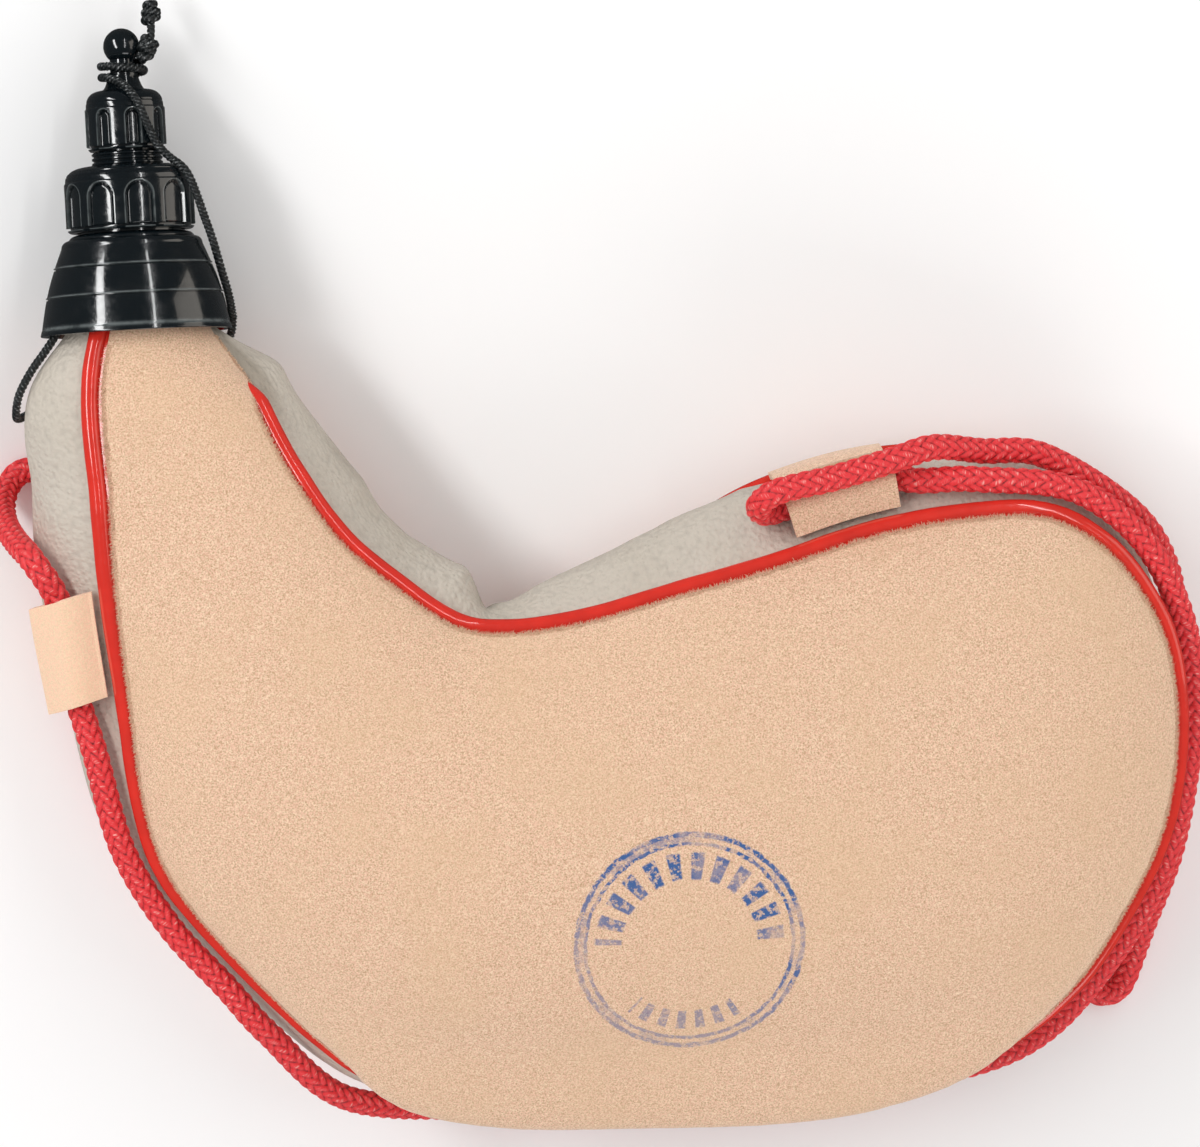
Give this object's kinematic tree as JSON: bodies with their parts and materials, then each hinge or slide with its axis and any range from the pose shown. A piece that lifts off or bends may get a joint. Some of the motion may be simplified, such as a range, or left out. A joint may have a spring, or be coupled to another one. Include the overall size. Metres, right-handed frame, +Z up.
{
  "type": "leather wine bag",
  "caption": "Curved leather drinking bag with piped seams, a carrying cord through side keepers, and a screw nozzle with collar, spout and corded stopper cap.",
  "frame": {"origin": "on the table, under the middle of the bag's bounding box measured without the two cords", "axes": "+X across the bag towards its lobe, +Y towards the nozzle, +Z up from the table to the front panel"},
  "size_m": [0.291, 0.269, 0.0751],
  "materials": {
    "suede": "tan suede",
    "sheet": "grey pebbled synthetic leather",
    "vinyl": "glossy red piping",
    "plastic": "glossy black moulding",
    "latex": "natural rubber",
    "washer": "matt seal",
    "twine": "waxed twine",
    "red_braid": "red braided cord",
    "black_braid": "black braided cord"
  },
  "bodies": {
    "bag": {"front_panel": "suede", "back_panel": "suede", "gusset": "sheet", "front_piping": "vinyl", "back_piping": "vinyl", "left_keeper": "suede", "right_keeper": "suede", "liner": "latex", "nozzle_base": "plastic", "neck_insert": "plastic", "neck_band": "twine", "shoulder_cord": "red_braid", "shoulder_cord_knot": "red_braid", "stopper_cord_lower": "black_braid", "stopper_cord_neck": "black_braid"},
    "collar_seal": {"collar_washer": "washer", "stopper_cord_upper": "black_braid"},
    "collar": {"spout_collar": "plastic"},
    "cap_seal": {"cap_washer": "washer"},
    "cap": {"stopper_cap": "plastic"},
    "tether": {"stopper_cord_loop": "black_braid", "stopper_cord_knot": "black_braid"}
  },
  "joints": [
    {"name": "collar_rise", "type": "slide", "parent": "bag", "child": "collar_seal", "axis": [-0.0549, 0.9817, -0.1822], "range_m": [0, 0.015], "deforming": ["stopper_cord_lower"]},
    {"name": "collar_turn", "type": "hinge", "parent": "collar_seal", "child": "collar", "pos_m": [-0.11151, 0.05785, 0.025], "axis": [-0.0549, 0.9817, -0.1822], "range_deg": [0, 1810]},
    {"name": "cap_rise", "type": "slide", "parent": "collar", "child": "cap_seal", "axis": [-0.0549, 0.9817, -0.1822], "range_m": [0, 0.012]},
    {"name": "cap_turn", "type": "hinge", "parent": "cap_seal", "child": "cap", "pos_m": [-0.11151, 0.05785, 0.025], "axis": [-0.0549, 0.9817, -0.1822], "range_deg": [0, 2170]},
    {"name": "tether_rise", "type": "slide", "parent": "collar_seal", "child": "tether", "axis": [-0.0549, 0.9817, -0.1822], "range_m": [0, 0.0121], "deforming": ["stopper_cord_upper"]}
  ],
  "couplings": [
    {"joint": "collar_turn", "follows": "collar_rise", "rad_per_m": 2094.4},
    {"joint": "cap_turn", "follows": "cap_rise", "rad_per_m": 3141.6},
    {"joint": "tether_rise", "follows": "cap_rise", "ratio": 1}
  ]
}
